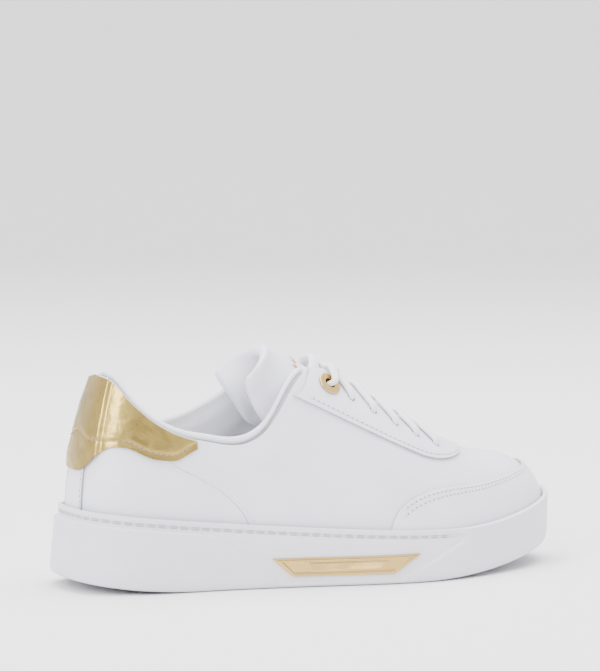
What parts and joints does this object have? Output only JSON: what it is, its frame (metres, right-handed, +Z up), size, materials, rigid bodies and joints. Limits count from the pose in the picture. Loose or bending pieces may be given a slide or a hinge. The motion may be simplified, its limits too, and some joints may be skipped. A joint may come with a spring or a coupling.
{
  "type": "court shoe",
  "caption": "Low-top court shoe for the right foot, with a padded collar, laced throat, folding tongue and thick stitched cupsole.",
  "frame": {"origin": "on the ground plane under the middle of the shoe's length, on the flat part of the tread", "axes": "+X towards the toe, +Y towards the inner (medial) side, +Z up"},
  "size_m": [0.2763, 0.1106, 0.119],
  "materials": {
    "rubber_white": "matte moulded rubber",
    "foam_eva": "closed-cell foam",
    "thread_white": "twisted polyester thread",
    "gold_metal": "polished pale gold plating",
    "board": "pressed cellulose board",
    "sock_textile": "knitted textile",
    "stiffener": "thermoplastic sheet",
    "leather_white": "smooth finished leather",
    "leather_gold": "metallic foil finish, slightly cracked",
    "foam_collar": "polyurethane foam",
    "lining_textile": "spacer mesh",
    "lace_white": "flat woven lace",
    "aglet_plastic": "clear-white film tip"
  },
  "bodies": {
    "shoe": {"outsole_tread": "rubber_white", "cupsole": "rubber_white", "midsole_filler": "foam_eva", "sole_stitching": "thread_white", "side_plate": "gold_metal", "insole_board": "board", "sockliner": "sock_textile", "heel_counter": "stiffener", "toe_puff": "stiffener", "vamp": "leather_white", "toe_overlay": "leather_white", "quarter_lateral": "leather_white", "quarter_medial": "leather_white", "eyestay": "leather_white", "back_stay": "leather_white", "heel_tab": "leather_gold", "collar_piping": "leather_white", "collar_foam": "foam_collar", "collar_lining": "lining_textile", "vamp_lining": "lining_textile", "tongue_base": "leather_white", "tongue_base_padding": "foam_collar", "tongue_base_lining": "lining_textile", "tongue_wing_binding": "leather_white", "eyelet_ring_lateral": "gold_metal", "eyelet_ring_medial": "gold_metal", "lace": "lace_white", "lace_aglets": "aglet_plastic"},
    "tongue_flap": {"tongue_top": "leather_white", "tongue_top_padding": "foam_collar", "tongue_top_lining": "lining_textile", "tongue_binding": "leather_white"}
  },
  "joints": [
    {"name": "tongue_fold", "type": "hinge", "parent": "shoe", "child": "tongue_flap", "pos_m": [-0.008, -0.004, 0.1065], "axis": [0, 1, 0], "range_deg": [0, 36], "stiffness_Nm_per_rad": 0.06}
  ]
}
